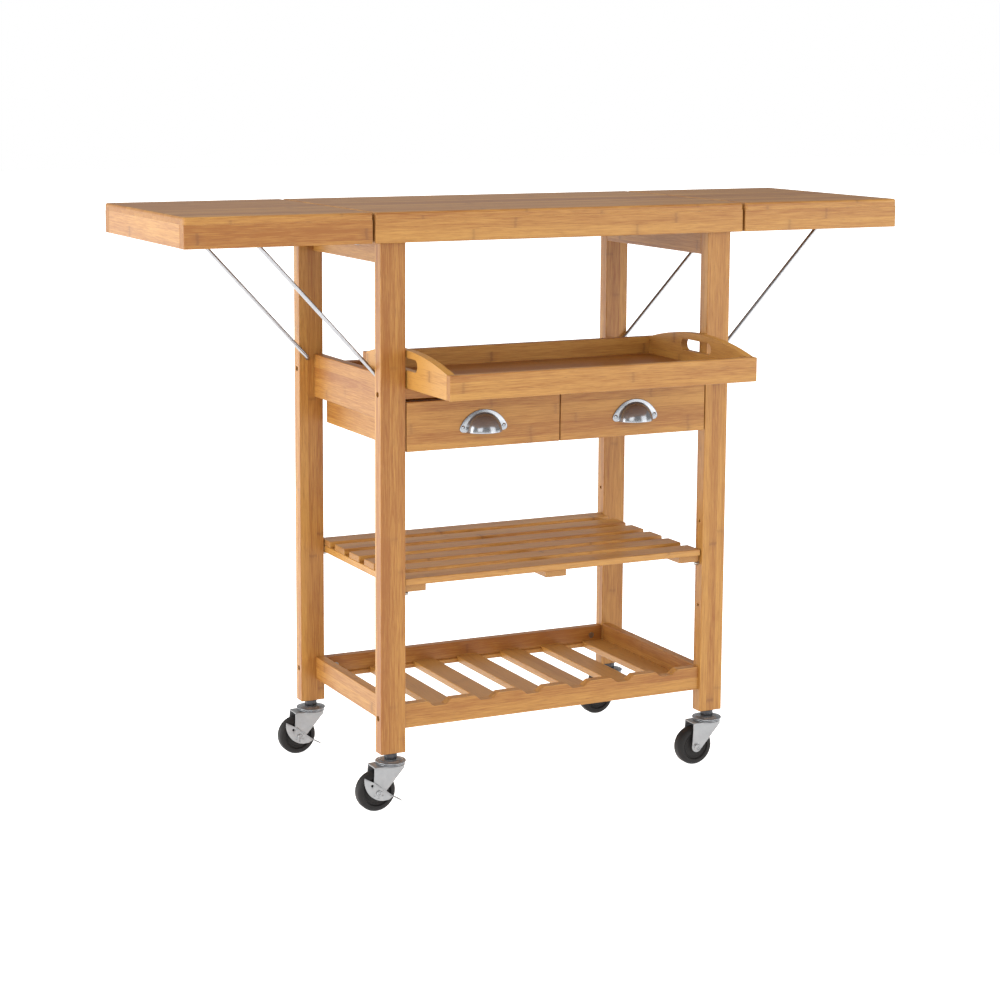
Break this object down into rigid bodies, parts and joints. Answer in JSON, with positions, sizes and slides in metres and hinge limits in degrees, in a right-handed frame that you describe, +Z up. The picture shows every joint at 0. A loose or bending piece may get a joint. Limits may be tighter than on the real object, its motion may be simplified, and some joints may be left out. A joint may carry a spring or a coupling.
{
  "type": "rolling kitchen cart",
  "caption": "Bamboo rolling kitchen cart with drop leaves on wire stays, a lift-out tray, drawers, an adjustable slatted shelf, a bottle rack and swivel casters.",
  "frame": {"origin": "on the floor under the middle of the whole cart, in the state with both leaves raised and the tray drawn out to the front", "axes": "+X along the worktop to the right seen from the drawer side, +Y from the drawers to the back, +Z up"},
  "size_m": [1.176, 0.4946, 0.88],
  "materials": {
    "bamboo": "clear satin lacquer over laminated bamboo",
    "bright_wire": "bright nickel-plated wire",
    "chrome": "polished chrome",
    "zinc_plate": "bright zinc plating",
    "hardware_steel": "plain zinc-plated hardware",
    "black_wheel": "hard black rubber, satin"
  },
  "bodies": {
    "frame": {"leg_front_left": "bamboo", "leg_front_right": "bamboo", "leg_back_left": "bamboo", "leg_back_right": "bamboo", "worktop_panel": "bamboo", "worktop_long_boards": "bamboo", "worktop_end_boards": "bamboo", "worktop_corner_blocks": "bamboo", "upper_side_rails": "bamboo", "drawer_case_sides": "bamboo", "tray_rail_front": "bamboo", "tray_rail_back": "bamboo", "drawer_divider": "bamboo", "drawer_runners": "bamboo", "shelf_slats": "bamboo", "shelf_battens": "bamboo", "shelf_pins": "hardware_steel", "lower_rail_front": "bamboo", "lower_rail_back": "bamboo", "lower_side_rails": "bamboo", "lower_slats": "bamboo", "lower_ledgers": "bamboo", "frame_bolts": "hardware_steel", "barrel_nuts": "hardware_steel", "frame_dowels": "bamboo", "hinge_fixed_plates": "hardware_steel", "caster_stems": "zinc_plate"},
    "left_leaf": {"leaf_panel_left": "bamboo", "leaf_long_boards_left": "bamboo", "leaf_cross_boards_left": "bamboo", "leaf_catch_left": "bamboo", "hinge_leaf_plates_left": "hardware_steel"},
    "left_stay": {"stay_left": "bright_wire"},
    "right_leaf": {"leaf_panel_right": "bamboo", "leaf_long_boards_right": "bamboo", "leaf_cross_boards_right": "bamboo", "leaf_catch_right": "bamboo", "hinge_leaf_plates_right": "hardware_steel"},
    "right_stay": {"stay_right": "bright_wire"},
    "tray": {"tray_floor": "bamboo", "tray_long_boards": "bamboo", "tray_end_boards": "bamboo"},
    "left_drawer": {"drawer_front_left": "bamboo", "drawer_box_left": "bamboo", "drawer_bottom_left": "bamboo", "cup_pull_left": "chrome"},
    "right_drawer": {"drawer_front_right": "bamboo", "drawer_box_right": "bamboo", "drawer_bottom_right": "bamboo", "cup_pull_right": "chrome"},
    "caster_front_left": {"caster_fork_front_left": "zinc_plate"},
    "wheel_front_left": {"caster_wheel_front_left": "black_wheel"},
    "brake_front_left": {"brake_lever_front_left": "zinc_plate"},
    "caster_front_right": {"caster_fork_front_right": "zinc_plate"},
    "wheel_front_right": {"caster_wheel_front_right": "black_wheel"},
    "caster_back_left": {"caster_fork_back_left": "zinc_plate"},
    "wheel_back_left": {"caster_wheel_back_left": "black_wheel"},
    "brake_back_left": {"brake_lever_back_left": "zinc_plate"},
    "caster_back_right": {"caster_fork_back_right": "zinc_plate"},
    "wheel_back_right": {"caster_wheel_back_right": "black_wheel"}
  },
  "joints": [
    {"name": "left_leaf_hinge", "type": "hinge", "parent": "frame", "child": "left_leaf", "pos_m": [-0.3065, 0.06575, 0.833], "axis": [0, -1, 0], "range_deg": [0, 90]},
    {"name": "left_stay_pivot", "type": "hinge", "parent": "frame", "child": "left_stay", "pos_m": [-0.278, 0.06575, 0.634], "axis": [0, -1, 0], "range_deg": [0, 137]},
    {"name": "right_leaf_hinge", "type": "hinge", "parent": "frame", "child": "right_leaf", "pos_m": [0.3065, 0.06575, 0.833], "axis": [0, 1, 0], "range_deg": [0, 90]},
    {"name": "right_stay_pivot", "type": "hinge", "parent": "frame", "child": "right_stay", "pos_m": [0.278, 0.06575, 0.634], "axis": [0, 1, 0], "range_deg": [0, 137]},
    {"name": "tray_slide", "type": "slide", "parent": "frame", "child": "tray", "axis": [0, -1, 0], "range_m": [-0.1595, 0.15]},
    {"name": "left_drawer_slide", "type": "slide", "parent": "frame", "child": "left_drawer", "axis": [0, -1, 0], "range_m": [0, 0.23]},
    {"name": "right_drawer_slide", "type": "slide", "parent": "frame", "child": "right_drawer", "axis": [0, -1, 0], "range_m": [0, 0.23]},
    {"name": "front_left_swivel", "type": "hinge", "parent": "frame", "child": "caster_front_left", "pos_m": [-0.27175, -0.0915, 0.069], "axis": [0, 0, 1], "continuous": true},
    {"name": "front_left_wheel_spin", "type": "hinge", "parent": "caster_front_left", "child": "wheel_front_left", "pos_m": [-0.29675, -0.0915, 0.03], "axis": [0, 1, 0], "continuous": true},
    {"name": "front_left_brake", "type": "hinge", "parent": "caster_front_left", "child": "brake_front_left", "pos_m": [-0.29675, -0.0915, 0.03], "axis": [0, -1, 0], "range_deg": [0, 25]},
    {"name": "front_right_swivel", "type": "hinge", "parent": "frame", "child": "caster_front_right", "pos_m": [0.27175, -0.0915, 0.069], "axis": [0, 0, 1], "continuous": true},
    {"name": "front_right_wheel_spin", "type": "hinge", "parent": "caster_front_right", "child": "wheel_front_right", "pos_m": [0.24675, -0.0915, 0.03], "axis": [0, 1, 0], "continuous": true},
    {"name": "back_left_swivel", "type": "hinge", "parent": "frame", "child": "caster_back_left", "pos_m": [-0.27175, 0.223, 0.069], "axis": [0, 0, 1], "continuous": true},
    {"name": "back_left_wheel_spin", "type": "hinge", "parent": "caster_back_left", "child": "wheel_back_left", "pos_m": [-0.29675, 0.223, 0.03], "axis": [0, 1, 0], "continuous": true},
    {"name": "back_left_brake", "type": "hinge", "parent": "caster_back_left", "child": "brake_back_left", "pos_m": [-0.29675, 0.223, 0.03], "axis": [0, -1, 0], "range_deg": [0, 25]},
    {"name": "back_right_swivel", "type": "hinge", "parent": "frame", "child": "caster_back_right", "pos_m": [0.27175, 0.223, 0.069], "axis": [0, 0, 1], "continuous": true},
    {"name": "back_right_wheel_spin", "type": "hinge", "parent": "caster_back_right", "child": "wheel_back_right", "pos_m": [0.24675, 0.223, 0.03], "axis": [0, 1, 0], "continuous": true}
  ],
  "couplings": [
    {"joint": "left_stay_pivot", "follows": "left_leaf_hinge", "ratio": 1.5222},
    {"joint": "right_stay_pivot", "follows": "right_leaf_hinge", "ratio": 1.5222}
  ]
}
